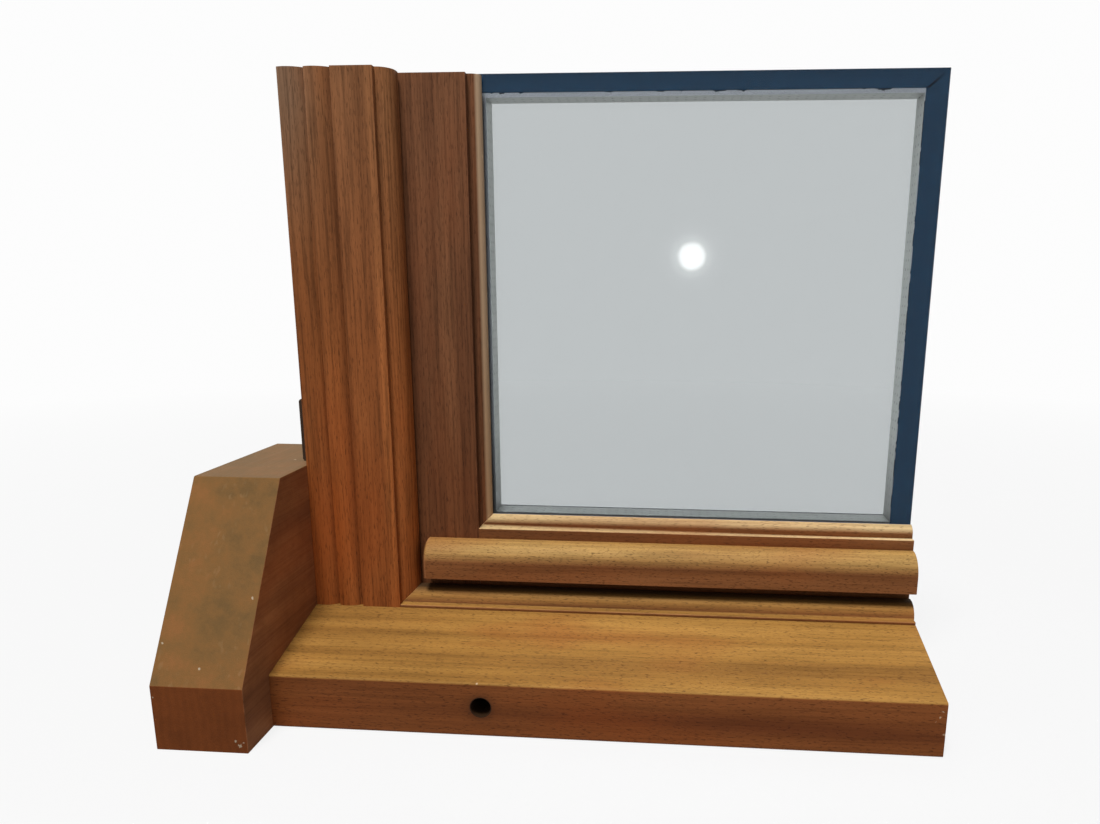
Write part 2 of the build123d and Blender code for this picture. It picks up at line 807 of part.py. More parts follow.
# Setting blocks that carry the unit in the bottom rebate
with BuildPart() as setting_blocks:
    for block_x in (unit_x + block_inset, cut_x - block_inset - block_length):
        with Locations((block_x, outer_y, glass_z)):
            Box(
                block_length,
                unit_back - outer_y,
                block_thickness,
                align=(Align.MIN, Align.MIN, Align.MIN),
            )
setting_blocks.part.label = "setting_blocks"
export_step(setting_blocks.part, "parts/setting_blocks.step")

# Glazing tapes: one strip up the stile and one along the rail, on each face of the unit
for tape_name, tape_y in (("outer_glazing_tape", sash_lip_y), ("inner_glazing_tape", unit_back)):
    with BuildPart() as tape:
        with Locations((sight_x - tape_height - bead_gap, tape_y, sight_z - tape_height - bead_gap)):
            Box(
                tape_height,
                tape_thickness,
                timber_top - sight_z + tape_height + bead_gap,
                align=(Align.MIN, Align.MIN, Align.MIN),
            )
            Box(
                cut_x - sight_x + tape_height + bead_gap,
                tape_thickness,
                tape_height,
                align=(Align.MIN, Align.MIN, Align.MIN),
            )
    tape.part.label = tape_name
    export_step(tape.part, f"parts/{tape_name}.step")

# Glazing beads: rounded towards the room, mitred where they meet
bead_depth = frame_depth - bead_y
with BuildPart() as glazing_bead_upright:
    with BuildSketch(Plane.XY.offset(glass_z)) as upright_section:
        with BuildLine():
            Polyline(
                (sight_x, bead_y + bead_depth - bead_nose),
                (sight_x, bead_y),
                (glass_x, bead_y),
                (glass_x, frame_depth),
                (sight_x - bead_nose, frame_depth),
            )
            RadiusArc((sight_x - bead_nose, frame_depth), (sight_x, frame_depth - bead_nose), bead_nose)
        make_face()
    extrude(amount=timber_top - glass_z)
    with BuildSketch(Plane.XZ) as below_mitre:
        with BuildLine():
            Polyline((glass_x, glass_z), (glass_x + far, glass_z), (glass_x + far, glass_z + far), close=True)
        make_face()
    extrude(amount=-far, mode=Mode.SUBTRACT)
glazing_bead_upright.part.label = "glazing_bead_upright"
export_step(glazing_bead_upright.part, "parts/glazing_bead_upright.step")

with BuildPart() as glazing_bead_bottom:
    with BuildSketch(Plane.YZ.offset(glass_x)) as bottom_section:
        with BuildLine():
            Polyline(
                (frame_depth - bead_nose, sight_z),
                (bead_y, sight_z),
                (bead_y, glass_z),
                (frame_depth, glass_z),
                (frame_depth, sight_z - bead_nose),
            )
            RadiusArc((frame_depth, sight_z - bead_nose), (frame_depth - bead_nose, sight_z), -bead_nose)
        make_face()
    extrude(amount=cut_x - glass_x)
    with BuildSketch(Plane.XZ) as left_of_mitre:
        with BuildLine():
            Polyline((glass_x, glass_z), (glass_x, glass_z + far), (glass_x + far, glass_z + far), close=True)
        make_face()
    extrude(amount=-far, mode=Mode.SUBTRACT)
glazing_bead_bottom.part.label = "glazing_bead_bottom"
export_step(glazing_bead_bottom.part, "parts/glazing_bead_bottom.step")

# Barrel hinges: the frame's leaf has the lower knuckle and the pin, the sash's leaf the upper
half_height = (hinge_height - knuckle_gap) / 2
screw_sides = {"frame": rebate_x - leaf_reach + leaf_screw_inset, "sash": sash_x + leaf_reach - leaf_screw_inset}
for hinge_name, hinge_z in hinge_bottoms.items():
    knuckles = {
        "frame": (hinge_z, hinge_z + half_height + knuckle_gap, rebate_x - leaf_reach, hinge_pin_radius),
        "sash": (
            hinge_z + half_height + knuckle_gap,
            hinge_z,
            sash_x + leaf_reach,
            hinge_pin_radius + hinge_running_gap,
        ),
    }
    for carrier, (knuckle_z, other_z, leaf_end, bore) in knuckles.items():
        with BuildPart() as leaf:
            with Locations(((leaf_end + hinge_x) / 2, leaf_y, hinge_z)):
                Box(
                    abs(leaf_end - hinge_x),
                    leaf_thickness,
                    hinge_height,
                    align=(Align.CENTER, Align.MIN, Align.MIN),
                )
            with Locations((hinge_x, hinge_y, other_z)):
                Cylinder(
                    radius=knuckle_radius + knuckle_clearance,
                    height=half_height,
                    align=(Align.CENTER, Align.CENTER, Align.MIN),
                    mode=Mode.SUBTRACT,
                )
            with Locations((hinge_x, hinge_y, hinge_z + half_height)):
                Cylinder(
                    radius=knuckle_radius + knuckle_clearance,
                    height=knuckle_gap,
                    align=(Align.CENTER, Align.CENTER, Align.MIN),
                    mode=Mode.SUBTRACT,
                )
            with Locations((hinge_x, hinge_y, knuckle_z)):
                Cylinder(
                    radius=knuckle_radius,
                    height=half_height,
                    align=(Align.CENTER, Align.CENTER, Align.MIN),
                )
            with Locations((hinge_x, hinge_y, hinge_z)):
                Cylinder(
                    radius=bore,
                    height=hinge_height,
                    align=(Align.CENTER, Align.CENTER, Align.MIN),
                    mode=Mode.SUBTRACT,
                )
            for row in range(leaf_screw_rows):
                screw_z = hinge_z + hinge_height / 2 + (row - (leaf_screw_rows - 1) / 2) * leaf_screw_pitch
                with Locations(Plane(origin=(screw_sides[carrier], frame_depth, screw_z), z_dir=(0, -1, 0))):
                    Cone(
                        bottom_radius=screw_head_radius,
                        top_radius=screw_radius,
                        height=leaf_thickness,
                        align=(Align.CENTER, Align.CENTER, Align.MIN),
                        mode=Mode.SUBTRACT,
                    )
        leaf.part.label = f"{hinge_name}_hinge_{carrier}_leaf"
        export_step(leaf.part, f"parts/{hinge_name}_hinge_{carrier}_leaf.step")

    with BuildPart() as hinge_pin:
        with Locations((hinge_x, hinge_y, hinge_z)):
            Cylinder(
                radius=hinge_pin_radius,
                height=hinge_height,
                align=(Align.CENTER, Align.CENTER, Align.MIN),
            )
            Cylinder(
                radius=pin_head_radius,
                height=pin_head_height,
                align=(Align.CENTER, Align.CENTER, Align.MAX),
            )
    hinge_pin.part.label = f"{hinge_name}_hinge_pin"
    export_step(hinge_pin.part, f"parts/{hinge_name}_hinge_pin.step")

for carrier, screw_x in screw_sides.items():
    with BuildPart() as leaf_screws:
        for hinge_z in hinge_bottoms.values():
            for row in range(leaf_screw_rows):
                screw_z = hinge_z + hinge_height / 2 + (row - (leaf_screw_rows - 1) / 2) * leaf_screw_pitch
                with Locations(Plane(origin=(screw_x, frame_depth, screw_z), z_dir=(0, -1, 0))):
                    Cylinder(
                        radius=screw_radius,
                        height=screw_length,
                        align=(Align.CENTER, Align.CENTER, Align.MIN),
                    )
                    Cone(
                        bottom_radius=screw_head_radius,
                        top_radius=screw_radius,
                        height=leaf_thickness,
                        align=(Align.CENTER, Align.CENTER, Align.MIN),
                    )
    leaf_screws.part.label = f"{carrier}_hinge_screws"
    export_step(leaf_screws.part, f"parts/{carrier}_hinge_screws.step")
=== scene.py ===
import json
import math
import random

import bmesh
import bpy
from mathutils import Matrix, Vector


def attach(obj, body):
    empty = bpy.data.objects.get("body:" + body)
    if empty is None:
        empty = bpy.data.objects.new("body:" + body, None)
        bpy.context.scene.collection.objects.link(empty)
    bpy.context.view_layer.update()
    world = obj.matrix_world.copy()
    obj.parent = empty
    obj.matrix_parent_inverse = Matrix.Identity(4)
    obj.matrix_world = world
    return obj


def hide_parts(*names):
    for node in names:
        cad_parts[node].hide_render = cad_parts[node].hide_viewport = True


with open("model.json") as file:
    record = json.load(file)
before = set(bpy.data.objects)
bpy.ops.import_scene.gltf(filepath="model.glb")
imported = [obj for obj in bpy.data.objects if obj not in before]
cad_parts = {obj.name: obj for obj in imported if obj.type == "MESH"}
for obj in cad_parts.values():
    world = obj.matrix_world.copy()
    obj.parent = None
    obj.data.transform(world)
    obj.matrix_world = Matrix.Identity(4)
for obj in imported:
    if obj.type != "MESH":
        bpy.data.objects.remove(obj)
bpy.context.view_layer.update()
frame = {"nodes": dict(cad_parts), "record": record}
nodes = frame["nodes"]
random.seed(11)
X, Y, Z = 0, 1, 2

# Camera, found from the edges of the sill, the jamb and the glazing unit
image_width = 1100
image_height = 824
camera_place = (0.0420, -0.5418, 0.2769)
camera_turns = {"Z": 4.40, "X": -12.79, "Y": -0.33}
focal_pixels = 828.4
centre_pixels = (609.3, 475.9)
sensor_width = 36.0

# Lamps, in watts and metres, and the pale surroundings
overhead_place = (-0.45, -1.55, 4.4)
overhead_aim = (0, 0, 0.15)
overhead_power = 195.0
key_place = (-0.75, -1.5, 1.25)
key_aim = (0, 0, 0.2)
key_power = 1.4
flash_place = (0.0626, -0.5418, 0.3189)
flash_aim = (0.0523, 0.032, 0.2979)
flash_power = 0.32
surround_white = 0.98
room_light = 0.24

# Radius of the arrises: planed timber, the worn foot, metal and rubber
planed_arris = 0.0006
worn_arris = 0.0016
metal_arris = 0.0003
rubber_arris = 0.0007

# Marks left by use, in metres: place and reach of each
foot_chips = [
    ((-0.2138, -0.079, 0.0891), 0.0008), ((-0.2389, -0.1016, 0.0517), 0.0009),
    ((-0.2655, -0.0941, 0.0641), 0.0007), ((-0.2666, -0.1075, 0.0347), 0.0006),
    ((-0.2148, -0.1075, 0.0051), 0.0012), ((-0.2172, -0.1075, 0.0083), 0.0007),
    ((-0.2124, -0.1070, 0.0072), 0.0008), ((-0.2265, 0.0189, 0.156), 0.001),
]
sill_chips = [
    ((0.2058, -0.0755, 0.0266), 0.0007), ((0.2071, -0.0755, 0.0306), 0.0006),
    ((0.2097, -0.0755, 0.0155), 0.001), ((0.2037, -0.0755, 0.0238), 0.0005),
    ((-0.0760, -0.0748, 0.0358), 0.0007),
]
chip_raggedness = 0.003
chip_sharpness = 1500
drain_axis = (-0.074, 0, 0.02)

# Where the mouldings, their stains and their painted light and shade begin and end, in metres
jamb_face = (-0.21, -0.138)
jamb_height = (0.1, 0.41)
stile_moulding = (-0.0958, -0.0865)
stile_height = (0.12, 0.41)
frame_rail_crown = (0.0635, 0.0667)
sash_rail_crown = (0.1185, 0.1227)
sash_rail_mitre = (-0.0865, 0.1)
sill_front_depth = (0.02, 0.03)

# Glazing unit: cut end and top, how much of the seal shows there, the heights over which painted shade
# darkens the spacers, and the spacer's breather slots
cut_end = 0.21
unit_top = 0.412
seal_shown_at_end = 0.0144
seal_shown_at_top = 0.0111
seal_bed = 0.0001
seal_lap = 0.0026
spacer_middle = 0.045
spacer_shade_height = (0.11, 0.18)
slot_pitch = 0.006
slot_rows = 0.003
slot_reach = (0.0008, 0.0004)

# Glazing beads: a place on the splay of each, and its slope
upright_bead_splay = (-0.0879, 0.0595, 0.2)
bottom_bead_splay = (0, 0.0595, 0.1153)
splay_slope = 0.27

# Screws: places of their heads, and sizes, in metres
hinge_screw_heights = (0.1247, 0.1747, 0.3155, 0.3655)
frame_hinge_screw_places = [(-0.172, 0.078, height) for height in hinge_screw_heights]
sash_hinge_screw_places = [(-0.131, 0.078, height) for height in hinge_screw_heights]
foot_screw_places = [(-0.259, 0.046, 0.11), (-0.259, -0.038, 0.017)]
hinge_screw_sizes = {
    "head_radius": 0.004, "head_height": 0.0025, "shank_radius": 0.002, "length": 0.0255,
    "countersunk": True,
}
foot_screw_sizes = {
    "head_radius": 0.0065, "head_height": 0.003, "shank_radius": 0.003, "length": 0.084,
    "countersunk": False,
}


# Nodes of a material

def new_material(name):
    """An empty material, its node tree and its shader."""
    material = bpy.data.materials.new(name)
    material.use_nodes = True
    tree = material.node_tree
    shader = tree.nodes["Principled BSDF"]
    return material, tree, shader


def add_node(tree, kind, **settings):
    """A node with its settings, which are inputs where it has inputs of those names."""
    node = tree.nodes.new(kind)
    for key, value in settings.items():
        if key in node.inputs:
            node.inputs[key].default_value = value
        else:
            setattr(node, key, value)
    return node


def ramp(tree, source, stops):
    """Colour ramp on a factor; stops are (place, colour) or (place, grey)."""
    node = tree.nodes.new("ShaderNodeValToRGB")
    while len(node.color_ramp.elements) < len(stops):
        node.color_ramp.elements.new(0.5)
    for element, (place, colour) in zip(node.color_ramp.elements, stops):
        element.position = place
        element.color = (*colour, 1) if isinstance(colour, tuple) else (colour, colour, colour, 1)
    tree.links.new(source, node.inputs["Fac"])
    return node.outputs["Color"]


def mix(tree, kind, factor, first, second):
    """Mixes two colours; factor, first and second are sockets or plain values."""
    node = tree.nodes.new("ShaderNodeMix")
    node.data_type = "RGBA"
    node.blend_type = kind
    for socket, value in ((0, factor), (6, first), (7, second)):
        if isinstance(value, bpy.types.NodeSocket):
            tree.links.new(value, node.inputs[socket])
        elif socket:
            node.inputs[socket].default_value = (*value, 1)
        else:
            node.inputs[socket].default_value = value
    return node.outputs[2]


def mix_surface(tree, factor, first, second):
    """Makes the material's surface of two shaders, by a factor between them."""
    node = tree.nodes.new("ShaderNodeMixShader")
    for socket, source in enumerate((factor, first, second)):
        tree.links.new(source, node.inputs[socket])
    tree.links.new(node.outputs[0], tree.nodes["Material Output"].inputs["Surface"])


def sums(tree, operation, first, second):
    """One sum on two numbers, each a socket or a plain value."""
    node = tree.nodes.new("ShaderNodeMath")
    node.operation = operation
    for socket, value in enumerate((first, second)):
        if isinstance(value, bpy.types.NodeSocket):
            tree.links.new(value, node.inputs[socket])
        else:
            node.inputs[socket].default_value = value
    return node.outputs[0]


def object_place(tree):
    """Place on the piece, in its own coordinates."""
    return tree.nodes.new("ShaderNodeTexCoord").outputs["Object"]


def split(tree, vector):
    """The X, Y and Z parts of a vector."""
    parts = tree.nodes.new("ShaderNodeSeparateXYZ")
    tree.links.new(vector, parts.inputs[0])
    return parts.outputs


def distance(tree, vector, place):
    """How far a vector ends from a place."""
    away = tree.nodes.new("ShaderNodeVectorMath")
    away.operation = "DISTANCE"
    away.inputs[1].default_value = place
    tree.links.new(vector, away.inputs[0])
    return away.outputs["Value"]


def facing(tree, axis, low, high, both_ways=True):
    """0 to 1 as a face turns towards an axis of the piece."""
    share = split(tree, tree.nodes.new("ShaderNodeTexCoord").outputs["Normal"])[axis]
    if both_ways:
        share = sums(tree, "ABSOLUTE", share, 0)
    return ramp(tree, share, [(low, 0.0), (high, 1.0)])


def along_axis(tree, axis, reach):
    """0 to 1 between two places along an axis of the piece, in metres."""
    low, high = reach
    from_low = sums(tree, "SUBTRACT", split(tree, object_place(tree))[axis], low)
    return sums(tree, "DIVIDE", from_low, high - low)


def noise_at(tree, vector, scale, **settings):
    """Noise laid out on a vector."""
    noise = add_node(tree, "ShaderNodeTexNoise", Scale=scale, **settings)
    tree.links.new(vector, noise.inputs["Vector"])
    return noise.outputs["Fac"]


def grain_place(tree, along, offset):
    """Place with the board's length turned to Z, and shifted to a fresh part of the log."""
    skew = math.radians(27)
    quarter = math.radians(90)
    turn = {"X": (0, quarter, skew), "Y": (quarter, 0, skew), "Z": (0, 0, skew)}[along]
    place = add_node(tree, "ShaderNodeMapping", Rotation=turn, Location=offset)
    tree.links.new(object_place(tree), place.inputs["Vector"])
    return place.outputs["Vector"]


def stretched_noise(tree, place, scale, stretch, **settings):
    """Noise drawn out along the grain by the stretch."""
    squeeze = add_node(tree, "ShaderNodeMapping", Scale=(1, 1, 1 / stretch))
    tree.links.new(place, squeeze.inputs["Vector"])
    return noise_at(tree, squeeze.outputs["Vector"], scale, **settings)


def relief(tree, shader, height, strength, deep):
    """Fine bump on a shader."""
    bump = add_node(tree, "ShaderNodeBump", Strength=strength, Distance=deep)
    tree.links.new(height, bump.inputs["Height"])
    tree.links.new(bump.outputs["Normal"], shader.inputs["Normal"])


def chips(tree, base, marks, colour):
    """Small bare spots at the places of the marks, ragged at their rims."""
    ragged = noise_at(tree, object_place(tree), 900, Detail=2)
    spots = None
    for place, reach in marks:
        inside = sums(tree, "SUBTRACT", reach, distance(tree, object_place(tree), place))
        spots = inside if spots is None else sums(tree, "MAXIMUM", spots, inside)
    uneven = sums(tree, "MULTIPLY", sums(tree, "SUBTRACT", ragged, 0.5), chip_raggedness)
    spots = sums(tree, "MULTIPLY", sums(tree, "ADD", spots, uneven), chip_sharpness)
    return mix(tree, "MIX", ramp(tree, spots, [(0.0, 0.0), (0.5, 0.85)]), base, colour)


def crevice_shade_and_grime(tree, base, reach, strength, colour=(0.02, 0.011, 0.006)):
    """Painted shade in quirks and inner corners, darkest where the piece's own faces close round a
    point, standing also for the grime gathered there.
    """
    hollow = tree.nodes.new("ShaderNodeAmbientOcclusion")
    hollow.samples = 8
    hollow.only_local = True
    hollow.inputs["Distance"].default_value = reach
    # Near-black where the occlusion is high: painted shade, with grime
    grime = ramp(tree, hollow.outputs["AO"], [(0.35, strength), (0.9, 0.0)])
    return mix(tree, "MIX", grime, base, colour)


# Timber

def board_figure(tree, figure, colours):
    """Broad figure of the board, between its dark, middle and pale colours."""
    pale, middle, dark = colours
    return ramp(tree, figure, [(0.3, dark), (0.5, middle), (0.7, pale)])


def end_grain(tree, place, colour, pore_colour, pore, shade):
    """Colour of a sawn end: growth rings with open vessels."""
    rings = add_node(tree, "ShaderNodeTexWave", wave_type="RINGS", rings_direction="Z", Scale=62,
                     Distortion=3.5, Detail=3)
    rings.inputs["Detail Scale"].default_value = 0.6
    tree.links.new(place, rings.inputs["Vector"])
    ring_shade = ramp(tree, rings.outputs["Fac"], [(0.1, shade * 0.96), (0.9, shade * 1.03)])
    cut = mix(tree, "MULTIPLY", 1.0, colour, ring_shade)
    vessels = stretched_noise(tree, place, 1500, 30, Detail=0)
    return mix(tree, "MIX", ramp(tree, vessels, [(0.34, pore * 0.7), (0.42, 0.0)]), cut, pore_colour)


def timber(name, along, offset, colours, gloss, grain=0.85, pore=0.5, pore_length=10, shade_and_grime=0.3,
           end_shade=0.5, top_lit=None):
    """Stained hardwood: soft figure, short mottle, fine streaks, open pores, rubbed arrises, and
    painted shade with grime in its quirks and inner corners.

    Where it faces up, it takes the paler colours given for upward faces, if any: painted light from
    above. Its sawn ends are darker.
    """
    pale, middle, dark = colours
    pore_colour = tuple(value * 0.3 for value in dark)
    material, tree, shader = new_material(name)
    place = grain_place(tree, along, offset)
    figure = stretched_noise(tree, place, 60, 30, Detail=1, Roughness=0.5, Distortion=0.2)
    streak = stretched_noise(tree, place, 560, 45, Detail=4, Roughness=0.7)
    mottle = stretched_noise(tree, place, 150, 12, Detail=3, Roughness=0.5)
    pores = stretched_noise(tree, place, 1900, pore_length, Detail=1, Roughness=0.4)
    cloud = stretched_noise(tree, place, 17, 3, Detail=3, Roughness=0.55)

    base = board_figure(tree, figure, colours)
    # Upward faces painted paler: painted light from above
    if top_lit:
        upward = facing(tree, Z, 0.1, 0.62, both_ways=False)
        base = mix(tree, "MIX", upward, base, board_figure(tree, figure, top_lit))
    streaks = ramp(tree, streak, [(0.36, 0.56), (0.5, 1.0), (0.64, 1.24)])
    base = mix(tree, "MULTIPLY", grain, base, streaks)
    mottles = ramp(tree, mottle, [(0.32, 0.76), (0.5, 1.0), (0.68, 1.12)])
    base = mix(tree, "MULTIPLY", 0.2, base, mottles)
    ruddy = (middle[0] * 1.25, middle[1] * 0.95, middle[2] * 0.75)
    base = mix(tree, "MIX", ramp(tree, cloud, [(0.5, 0.0), (0.72, 0.6)]), base, ruddy)
    base = mix(tree, "MULTIPLY", 0.7, base, ramp(tree, cloud, [(0.3, 0.8), (0.5, 1.0)]))
    base = mix(tree, "MIX", ramp(tree, pores, [(0.32, pore), (0.4, 0.0)]), base, pore_colour)

    ends = facing(tree, "XYZ".index(along), 0.6, 0.85)
    cut = end_grain(tree, place, middle, pore_colour, pore, end_shade)
    base = mix(tree, "MIX", ends, base, cut)

    arris = add_node(tree, "ShaderNodeAttribute", attribute_name="arris").outputs["Fac"]
    rubbed = sums(tree, "MULTIPLY", arris, ramp(tree, mottle, [(0.4, 0.0), (0.65, 0.5)]))
    bare = tuple(min(1.0, value * 1.5 + 0.03) for value in pale)
    base = mix(tree, "MIX", rubbed, base, bare)
    # Painted shade, with grime, in the quirks and inner corners
    base = crevice_shade_and_grime(tree, base, 0.006, shade_and_grime)
    tree.links.new(base, shader.inputs["Base Color"])
    sheen = ramp(tree, streak, [(0.3, gloss + 0.14), (0.7, gloss)])
    tree.links.new(sheen, shader.inputs["Roughness"])
    shader.inputs["Specular IOR Level"].default_value = 0.1
    hollows = mix(tree, "ADD", 0.5, ramp(tree, pores, [(0.31, 0.0), (0.42, 1.0)]),
                  ramp(tree, streak, [(0.3, 0.0), (0.7, 1.0)]))
    relief(tree, shader, hollows, 0.3, 0.0003)
    return material


def retouch(material, change):
    """Runs a change on the colour that the material's shader now has."""
    tree = material.node_tree
    colour = tree.nodes["Principled BSDF"].inputs["Base Color"]
    tree.links.new(change(tree, colour.links[0].from_socket), colour)
    return material


def stile_lip(tree, base):
    """The stile: painted shade down its quirk, a painted highlight on the nose beside the glass, and
    paler towards the top.
    """
    across = along_axis(tree, X, stile_moulding)
    # Darker across the quirk: painted shade
    shade = ramp(tree, across, [(0.04, 1.0), (0.1, 0.8), (0.32, 0.9), (0.42, 1.0)])
    base = mix(tree, "MULTIPLY", 1.0, base, shade)
    # Paler nose beside the glass: painted highlight
    nose = ramp(tree, across, [(0.55, 0.0), (0.74, 0.8)])
    base = mix(tree, "MIX", nose, base, (0.5, 0.31, 0.17))
    up = ramp(tree, along_axis(tree, Z, stile_height), [(0.0, 0.0), (0.5, 0.65), (1.0, 1.0)])
    return mix(tree, "MULTIPLY", up, base, (1.38, 1.58, 1.85))


def rail_lip(tree, base):
    """The frame rail's moulding: a painted shadow on its crown, where the weather bar overhangs it."""
    crown = ramp(tree, along_axis(tree, Z, frame_rail_crown), [(0.0, 0.0), (0.9, 0.85)])
    # Near-black over the crown: painted shadow of the weather bar
    return mix(tree, "MIX", crown, base, (0.018, 0.012, 0.009))


def jamb_lit_rounds_and_grey_top(tree, base):
    """The jamb: a painted highlight on the reeds and the quarter round, and greyer towards the cut
    top.
    """
    across = along_axis(tree, X, jamb_face)
    # Reeds and quarter round made paler: painted highlight
    lit_rounds = ramp(tree, across, [(0.4, 1.0), (0.43, 0.0), (0.77, 0.0), (0.8, 1.0)])
    base = mix(tree, "MULTIPLY", lit_rounds, base, (1.32, 1.36, 1.34))
    up = along_axis(tree, Z, jamb_height)
    greying_up = ramp(tree, up, [(0.0, 0.0), (0.45, 0.2), (1.0, 1.0)])
    base = mix(tree, "MULTIPLY", greying_up, base, (0.92, 1.33, 2.2))
    near_top = ramp(tree, up, [(0.6, 0.0), (1.0, 1.0)])
    near_side = ramp(tree, across, [(0.1, 1.0), (0.4, 0.0)])
    corner = sums(tree, "MULTIPLY", near_top, near_side)
    return mix(tree, "MULTIPLY", corner, base, (0.81, 1.13, 1.7))


def sash_rail_lip(tree, base):
    """The sash rail's moulding: spots of grime along its top, thickest at the mitre."""
    spots = noise_at(tree, object_place(tree), 260, Detail=3)
    away = ramp(tree, along_axis(tree, X, sash_rail_mitre), [(0.0, 0.0), (0.3, 0.12), (1.0, 0.16)])
    grime = ramp(tree, sums(tree, "SUBTRACT", spots, away), [(0.42, 0.0), (0.5, 0.9)])
    crown = ramp(tree, along_axis(tree, Z, sash_rail_crown), [(0.3, 0.0), (0.6, 1.0)])
    band = mix(tree, "MULTIPLY", 1.0, crown, grime)
    return mix(tree, "MIX", band, base, (0.03, 0.02, 0.014))


def plane_scratches(tree):
    """Patches of fine slanting scratches, as a factor."""
    slope = (0.5, math.radians(40), 0)
    slant = add_node(tree, "ShaderNodeMapping", Rotation=slope, Scale=(1, 1, 0.05))
    tree.links.new(object_place(tree), slant.inputs["Vector"])
    lines = noise_at(tree, slant.outputs["Vector"], 330, Detail=1)
    patch = noise_at(tree, object_place(tree), 34, Detail=2)
    return sums(tree, "MULTIPLY", ramp(tree, lines, [(0.6, 0.0), (0.68, 0.14)]),
                ramp(tree, patch, [(0.48, 0.0), (0.62, 1.0)]))


def dusty_foot_with_lit_sides(tree, base):
    """Dust on the bevel and the top, slanting plane scratches, bare chips, and sides painted paler as
    fill light.
    """
    stain = noise_at(tree, object_place(tree), 30, Detail=8, Roughness=0.72)
    blotches = ramp(tree, stain, [(0.36, 0.84), (0.5, 1.0), (0.64, 1.14)])
    base = mix(tree, "MULTIPLY", 1.0, base, blotches)
    base = mix(tree, "MULTIPLY", facing(tree, Y, 0.8, 0.95), base, (0.76, 0.63, 0.47))
    # Sides made paler and greyer: painted fill light
    base = mix(tree, "MULTIPLY", facing(tree, X, 0.8, 0.95), base, (1.15, 1.35, 1.6))
    khaki = ramp(tree, stain, [(0.36, (0.155, 0.094, 0.034)), (0.46, (0.2, 0.11, 0.037)),
                               (0.54, (0.225, 0.115, 0.037)), (0.64, (0.265, 0.122, 0.04))])
    upward = facing(tree, Z, 0.3, 0.5, both_ways=False)
    base = mix(tree, "MIX", upward, base, mix(tree, "MIX", 0.85, base, khaki))
    level = facing(tree, Z, 0.8, 0.95, both_ways=False)
    dust = mix(tree, "MULTIPLY", 1.0, level, (0.5, 0.5, 0.5))
    base = mix(tree, "MIX", dust, base, (0.18, 0.125, 0.075))
    scratched = sums(tree, "MULTIPLY", plane_scratches(tree), upward)
    base = mix(tree, "MIX", scratched, base, (0.4, 0.27, 0.14))
    return chips(tree, base, foot_chips, (0.5, 0.4, 0.28))


def drained_sill(tree, base):
    """Sill front darkened by damp round the drain, painted shade blackening the inside of the hole,
    and chips at its end.
    """
    flat = tree.nodes.new("ShaderNodeVectorMath")
    flat.operation = "MULTIPLY"
    flat.inputs[1].default_value = (1, 0, 1)
    tree.links.new(object_place(tree), flat.inputs[0])
    away = sums(tree, "MULTIPLY", distance(tree, flat.outputs["Vector"], drain_axis), 60)
    # Near-black inside the hole: painted shade; the fading ring round it is damp
    stain = ramp(tree, away, [(0.4, 0.97), (0.43, 0.4), (0.6, 0.12), (0.85, 0.0)])
    front = ramp(tree, along_axis(tree, Y, sill_front_depth), [(0.0, 1.0), (1.0, 0.0)])
    base = mix(tree, "MIX", sums(tree, "MULTIPLY", stain, front), base, (0.025, 0.012, 0.006))
    return chips(tree, base, sill_chips, (0.62, 0.46, 0.3))


# Glazing unit, metal, rubber and surroundings

def breather_slots(tree):
    """Two rows of short slots along the middle of a spacer's inner faces, as a factor."""
    parts = split(tree, object_place(tree))
    inner = mix(tree, "LIGHTEN", 1.0, facing(tree, X, 0.7, 0.8), facing(tree, Z, 0.7, 0.8))
    along = sums(tree, "ADD", parts[X], parts[Z])
    gap = sums(tree, "PINGPONG", along, slot_pitch / 2)
    from_middle = sums(tree, "SUBTRACT", parts[Y], spacer_middle)
    off_row = sums(tree, "SUBTRACT", slot_rows, sums(tree, "PINGPONG", from_middle, slot_rows))
    in_slot = sums(tree, "MULTIPLY", sums(tree, "LESS_THAN", gap, slot_reach[0]),
                   sums(tree, "LESS_THAN", off_row, slot_reach[1]))
    return sums(tree, "MULTIPLY", inner, in_slot)


def perforated_spacer(tree, base):
    """Breather slots painted dark as the shade within them, a painted highlight on the front, painted
    shade darker towards the bottom, and sealant smeared over its outer border.
    """
    # Slots painted near-black: painted shade inside them
    base = mix(tree, "MIX", breather_slots(tree), base, (0.03, 0.03, 0.03))
    # Front faces painted near-white: painted highlight
    front = facing(tree, Y, 0.7, 0.8)
    base = mix(tree, "MIX", front, base, (0.9, 0.91, 0.95))
    # Darker towards the bottom: painted shade
    low_shade = ramp(tree, along_axis(tree, Z, spacer_shade_height), [(0.0, 0.26), (1.0, 1.0)])
    base = mix(tree, "MULTIPLY", 1.0, base, low_shade)
    parts = split(tree, object_place(tree))
    from_end = sums(tree, "SUBTRACT", cut_end - seal_shown_at_end, parts[X])
    from_top = sums(tree, "SUBTRACT", unit_top - seal_shown_at_top, parts[Z])
    blobs = noise_at(tree, object_place(tree), 90, Detail=3, Roughness=0.6)
    lap = sums(tree, "MULTIPLY", sums(tree, "SUBTRACT", blobs, 0.56), 0.012)
    smear = sums(tree, "SUBTRACT", lap, sums(tree, "MINIMUM", from_end, from_top))
    smeared = ramp(tree, sums(tree, "MULTIPLY", smear, 4000), [(0.0, 0.0), (0.6, 0.97)])
    return mix(tree, "MIX", sums(tree, "MULTIPLY", smeared, front), base, (0.001, 0.02, 0.05))


